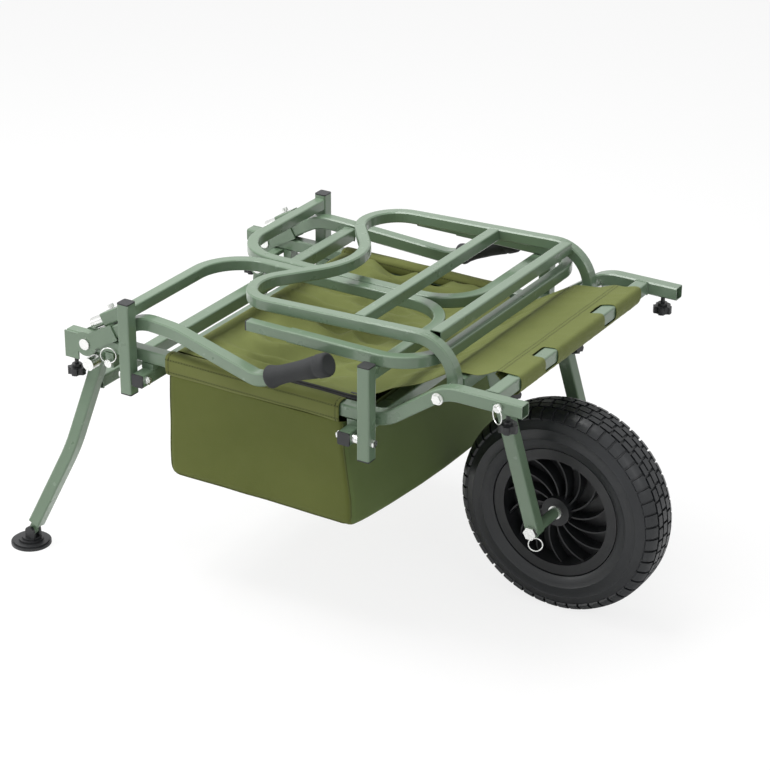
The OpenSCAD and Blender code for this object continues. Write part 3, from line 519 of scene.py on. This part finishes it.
sleeve_shift, sleeve_ripple, shift_stretch = 0.022, 0.0008, (0.348, 0.024)
raised_rack_inside, clear_of_rack, past_rack_stretch = 0.2395, 0.0145, (0.397, 0.006)
climb_fold, climb_fine, climb_dip, ridge_fold = 0.004, 0.0022, 0.003, 0.0009
lid_fold, lid_fine, lid_dip = 0.018, 0.007, 0.011


def deck_side(x, across):
    """The deck's y at a place along it; across goes from -1 on the right to 1."""
    waist = waist_depth * swell(share(x, *waist_stretch))
    widening = (deck_half_width - waist - lid_half_width) * share(x, *widening_stretch)
    half_width = lid_half_width + widening
    shift = sleeve_shift * share(x, *shift_stretch)
    right_edge, left_edge = shift - half_width, shift + half_width
    if x > crossbar_low.x:
        past_rack = clear_of_rack * share(x, *past_rack_stretch)
        left_edge = min(left_edge, raised_rack_inside + past_rack)
    return right_edge + (left_edge - right_edge) * (across + 1) / 2


def deck_folds(x, across, z):
    """How far folds and slack move a point of the deck, in x and in z."""
    if x >= seam_x or z <= tube_z - 0.1:
        return (sleeve_ripple * bumps(0, across * 22, z * 20),
                sleeve_ripple * bumps(x * 20, across * 18, 4))
    climb_slack = swell(share(x, 0.13, crossbar_low.x - 0.14))
    lid_slack = swell(share(x, deck_low.x, 0.375))
    fan = across * (1 + 1.2 * (seam_x - x))
    long_fold = 0.5 - abs(bumps(x * 3.0, fan * 5.5, 3.1)) * 2.2
    fine_fold = bumps(x * 9 + across * 5, fan * 15, 9.2)
    crumple = 0.5 - abs(bumps(x * 11 + across * 3, across * 6 - x * 5, 1.7)) * 2.4
    middle_dip = lid_dip * (1 - across * across)
    lift = climb_slack * (climb_fold * long_fold + climb_fine * fine_fold - climb_dip)
    lift += lid_slack * (lid_fold * crumple + lid_fine * fine_fold - middle_dip)
    ridge_start = crossbar_low.x - 0.01
    if ridge_start < x < seam_x:
        lift += ridge_fold * (1 + long_fold) * swell((x - ridge_start) / (seam_x - ridge_start))
    return 0, lift


deck_cloth = canvas("deck_canvas", (0.105, 0.125, 0.030), (0.195, 0.222, 0.070),
                    [(0, seam_x + 0.008), (0, seam_x + 0.001)])
deck_section, deck_length = [], 0
for start, end in zip(deck_course, deck_course[1:]):
    run = math.dist(start, end)
    deck_length += run
    deck_section += straight(start, end, max(1, round(run / deck_cell)))
deck_section.append(deck_course[-1])
deck_sheet = drawn_out([(x, -1, z) for x, z in deck_section], (0, 2, 0), deck_steps)
windows = []
for face in deck_sheet.faces:
    at = face.calc_center_median()
    in_window = any(abs(at.y * deck_half_width - y) < window_half for y in window_middles)
    if in_window and at.x > front_low.x and at.z > tube_z - wrap * 0.9:
        windows.append(face)
bmesh.ops.delete(deck_sheet, geom=windows, context="FACES")
for vert in deck_sheet.verts:
    x, across, z = vert.co
    forward, lift = deck_folds(x, across, z)
    vert.co += Vector((forward, deck_side(x, across) - across, lift))
face_out(deck_sheet, Vector((0, 0, 1)))
deck_area = sum(f.calc_area() for f in deck_sheet.faces)
deck = finished_piece("deck_panel", deck_sheet, deck_cloth, "frame", "olive_cloth", "deck_cloth")
thickened(deck, deck_wall)

# Lid zip: a black zip on woven tape along the lid's right edge, with its slider
# closed at the front.
zip_tape = Finish("zip_tape", Roughness=0.8)
tooth_pitch, tooth_depth = 0.003, 0.0006
teeth = zip_tape.parts(zip_tape.where)[0].wave(tooth_pitch) * 0.5 + 0.5
zip_tape.wear(Base_Color=zip_tape.mix(teeth, (0.006, 0.006, 0.006), (0.022, 0.022, 0.022)))
zip_tape.relief(teeth, tooth_depth)
zip_y, zip_start, zip_end = bag_low.y + 0.036, -0.19, middle_tube_front - 0.004
zip_height, tape_wall, zip_wander, zip_steps = lid_height + 0.0005, 0.0012, 0.002, 40
slider_size, puller_size = (0.012, 0.008, 0.004), (0.022, 0.005, 0.0012)
zip_section = [(-0.008, -0.0010), (-0.0028, 0.0), (-0.0022, 0.0018),
               (0.0022, 0.0018), (0.0028, 0.0), (0.008, -0.0010)]
zip_strip = drawn_out([(zip_start, zip_y + y, zip_height + z) for y, z in zip_section],
                      (zip_end - zip_start, 0, 0), zip_steps)
for vert in zip_strip.verts:
    vert.co.z += zip_wander * bumps(vert.co.x * 14, 3, 1)
    vert.co.y += zip_wander * bumps(vert.co.x * 9, 8, 1)
face_out(zip_strip, Vector((0, 0, 1)))
zip_line = finished_piece("lid_zip", zip_strip, zip_tape, "frame", "olive_cloth", smooth=False)
zip_line.modifiers.new("tape_thickness", "SOLIDIFY").thickness = tape_wall
slider = bmesh.new()
bmesh.ops.create_cube(slider, size=1)
bmesh.ops.scale(slider, vec=slider_size, verts=slider.verts)
puller = bmesh.ops.create_cube(slider, size=1)["verts"]
bmesh.ops.scale(slider, vec=puller_size, verts=puller)
bmesh.ops.translate(slider, vec=(-0.012, 0, 0.0028), verts=puller)
bmesh.ops.bevel(slider, geom=slider.edges[:], offset=0.0005, segments=2, profile=0.5,
                affect="EDGES", material=-1)
bmesh.ops.translate(slider, vec=(zip_end - 0.010, zip_y, zip_height + 0.004), verts=slider.verts)
finished_piece("lid_zip_slider", slider, black_moulding, "frame", "black_plastic", smooth=False)

# Tyre: a 400 mm pneumatic tyre of black rubber. Blocks stand at both shoulders
# and in two rows beside a cut middle rib; the sidewall has two raised rings.
tyre_low, tyre_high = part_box("tyre")
wheel_middle = (tyre_low + tyre_high) / 2
tread_depth = 0.0042
carcass = (tyre_high.z - tyre_low.z) / 2 - tread_depth
block_count, steps_each, block_share = 50, 6, 0.8
block_rise, shoulder_start, shoulder_lean = tread_depth * 0.96, 0.030, 0.55
tread_start = 0.180
inner_groove, outer_groove = (0.0071, 0.0104), (0.0226, 0.0259)
tyre_rubber = Finish("tyre_rubber")
tyre_rubber.wear(
    Base_Color=tyre_rubber.mix(
        tyre_rubber.cloud(11.0, 5.0), (0.0040, 0.0050, 0.0062), (0.0125, 0.0145, 0.0170)),
    Roughness=tyre_rubber.cloud(26.0) * 0.25 + 0.27)
tyre_rubber.relief(tyre_rubber.cloud(500.0, 3.0), 0.00015)
half_section = [
    (0.1265, 0.038), (0.1275, 0.0445), (0.132, 0.0475), (0.140, 0.0500), (0.1465, 0.0512),
    (0.148, 0.0522), (0.150, 0.0514), (0.158, 0.0520), (0.166, 0.0512), (0.1675, 0.0518),
    (0.169, 0.0504), (0.176, 0.0480), (0.183, 0.0440), (0.189, 0.0395),
    (carcass - 0.0045, 0.0340), (carcass - 0.0015, 0.0260), (carcass - 0.0008, 0.0225),
    (carcass, 0.0105), (carcass, 0.0070), (carcass, 0.0030)]
tyre_section = [(r, -y) for r, y in half_section] + [(r, y) for r, y in reversed(half_section)]


def turned(points, centre, axis, steps):
    """A closed shape: the chain through the points, spun once round an axis."""
    shape = chain(points)
    bmesh.ops.spin(shape, geom=shape.verts[:] + shape.edges[:], cent=centre, axis=axis,
                   dvec=(0, 0, 0), angle=2 * math.pi, steps=steps, use_merge=True)
    bmesh.ops.remove_doubles(shape, verts=shape.verts, dist=0.00001)
    bmesh.ops.recalc_face_normals(shape, faces=shape.faces)
    return shape


casing = turned([(wheel_middle.x + r, y, wheel_middle.z) for r, y in tyre_section],
                wheel_middle, (0, 1, 0), block_count * steps_each)
blocks = []
for face in casing.faces:
    at = face.calc_center_median()
    spoke_x, spoke_z, from_middle = at.x - wheel_middle.x, at.z - wheel_middle.z, abs(at.y)
    in_groove = any(start < from_middle < end for start, end in (inner_groove, outer_groove))
    if math.hypot(spoke_x, spoke_z) < tread_start or in_groove:
        continue
    pitch = (math.atan2(spoke_z, spoke_x) / (2 * math.pi) * block_count) % 1
    if from_middle > outer_groove[1]:
        row_offset = 0
    elif from_middle > inner_groove[1]:
        row_offset = 0.5 if at.y > 0 else 0.35
    else:
        row_offset = 0.2
    if (pitch + row_offset) % 1 < block_share:
        blocks.append(face)
raised = bmesh.ops.extrude_face_region(casing, geom=blocks)["geom"]
for vert in {g for g in raised if isinstance(g, bmesh.types.BMVert)}:
    away = Vector((vert.co.x - wheel_middle.x, 0, vert.co.z - wheel_middle.z)).normalized()
    if abs(vert.co.y) > shoulder_start:
        lean = Vector((0, math.copysign(shoulder_lean, vert.co.y), 0))
        away = (away + lean).normalized()
    vert.co += away * block_rise
bmesh.ops.delete(casing, geom=blocks, context="FACES_ONLY")
tyre = finished_piece("tyre_casing", casing, tyre_rubber, "wheel", "tyre_rubber", "tyre")
edge_round = tyre.modifiers.new("block_edges", "BEVEL")
edge_round.width, edge_round.segments, edge_round.limit_method = 0.0005, 1, "ANGLE"
edge_round.angle_limit = math.radians(42)
edge_round.harden_normals = True

# Tyre valve: a short rubber-covered stem with a screwed cap, through the rim's
# face beside the hub on the right side.
valve_lean, valve_place = math.radians(68), Vector((0.035, -0.026, 0.095))
valve = bmesh.new()
bmesh.ops.create_cone(
    valve, cap_ends=True, segments=20, radius1=0.0048, radius2=0.0036, depth=0.022)
bmesh.ops.create_cone(
    valve, cap_ends=True, segments=12, radius1=0.0044, radius2=0.0040, depth=0.010,
    matrix=Matrix.Translation((0, 0, 0.013)))
bmesh.ops.rotate(
    valve, cent=(0, 0, 0), matrix=Matrix.Rotation(valve_lean, 3, "X"), verts=valve.verts)
bmesh.ops.translate(valve, vec=wheel_middle + valve_place, verts=valve.verts)
finished_piece("tyre_valve", valve, black_moulding, "wheel", "black_plastic", smooth=False)

# Grips: soft grey-black rubber sleeves, swollen at both ends, with a ring near
# the outer end and a closed disc over the tube.
grip_rubber = Finish("grip_rubber")
speckle = grip_rubber.cloud(700.0, 3.0)
grip_rubber.wear(
    Base_Color=grip_rubber.mix(
        grip_rubber.cloud(30.0), (0.010, 0.011, 0.012), (0.024, 0.026, 0.027)),
    Roughness=speckle * 0.2 + 0.7)
grip_rubber.relief(speckle, 0.0004)
grip_slope, tube_in_grip = math.radians(24), 0.0126
for side_name in ("right", "left"):
    grip_low, grip_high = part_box(f"grip_{side_name}")
    outer, middle_y = (grip_high.y - grip_low.y) / 2, (grip_low.y + grip_high.y) / 2
    end_lean = Vector((math.sin(grip_slope), 0, math.cos(grip_slope))) * outer
    grip_start = Vector((grip_low.x, middle_y, grip_low.z)) + end_lean
    grip_stop = Vector((grip_high.x, middle_y, grip_high.z)) - end_lean
    long = (grip_stop - grip_start).length
    grip_section = [
        (0.0, tube_in_grip), (0.0, outer - 0.003), (0.001, outer - 0.0012), (0.004, outer),
        (0.008, outer - 0.0003), (0.016, outer - 0.0026), (0.034, outer - 0.0042),
        (0.070, outer - 0.0036), (0.092, outer - 0.0020), (0.104, outer - 0.0008),
        (0.107, outer - 0.0022), (0.111, outer - 0.0022), (0.114, outer + 0.0006),
        (long - 0.006, outer + 0.0010), (long - 0.002, outer - 0.0004),
        (long, outer - 0.004), (long - 0.001, outer - 0.006), (long - 0.0012, 0.0)]
    sleeve = turned([(radius, 0, along) for along, radius in grip_section],
                    (0, 0, 0), (0, 0, 1), 56)
    bmesh.ops.rotate(sleeve, cent=(0, 0, 0), verts=sleeve.verts,
                     matrix=Matrix.Rotation(math.pi / 2 - grip_slope, 3, "Y"))
    bmesh.ops.translate(sleeve, vec=grip_start, verts=sleeve.verts)
    finished_piece(f"grip_sleeve_{side_name}", sleeve, grip_rubber, "handle", "grip_foam",
                   f"grip_{side_name}")

# Weld beads: a rippled fillet round each tube that is welded to another, where
# the paint lies over the ripples.
weld_coat = Finish("weld_powder_coat", Roughness=0.4, Coat_Weight=0.2, Coat_Roughness=0.12)
weld_coat.wear(Base_Color=weld_coat.mix(
    weld_coat.cloud(80.0), (0.094, 0.144, 0.092), (0.142, 0.206, 0.138)))
weld_coat.relief(weld_coat.cloud(260.0, 2.0), 0.0006)
bead_radius, bead_points, squareness, ripple_height = 0.0017, 48, 0.86, 0.03
for side_name, side in (("right", -1), ("left", 1)):
    for tube_name, tube_node, inside, body in (
            ("front", "front_cross_tube", 0.001, "frame"),
            ("handle", "handle_crossbar", 0.0035, "handle"),
            ("leg", "leg_crossbar", 0.001, "leg_frame")):
        tube_low, tube_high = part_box(tube_node)
        weld_middle = (tube_low + tube_high) / 2
        weld_middle.y = side * (tube_high.y - inside)
        around = []
        for i in range(bead_points):
            angle = 2 * math.pi * i / bead_points
            c, s = math.cos(angle), math.sin(angle)
            squared = 1 / max(abs(c), abs(s)) ** squareness
            ripple = 1 + ripple_height * math.sin(i * 2.4)
            around.append(weld_middle + Vector((c, 0, s)) * (half_tube * squared * ripple))
        around.append(around[0])
        piping(f"{tube_name}_tube_weld_{side_name}", around, bead_radius, weld_coat, body,
               "green_paint")

# CAD nodes: tubes, moulded parts and fasteners whose shape stays as the CAD has
# it. Each carries the finish of its material slot, the hidden cloth solids too.
finishes = {
    "green_paint": green_coat, "black_plastic": black_moulding, "zinc_steel": zinc_plate,
    "olive_cloth": bag_cloth, "grip_foam": grip_rubber, "tyre_rubber": tyre_rubber}
for entry in frame["record"]["subparts"]:
    node_object = frame["nodes"][entry["node"]]
    node_object.data.materials.clear()
    node_object.data.materials.append(finishes[entry["material_slot"]].material)
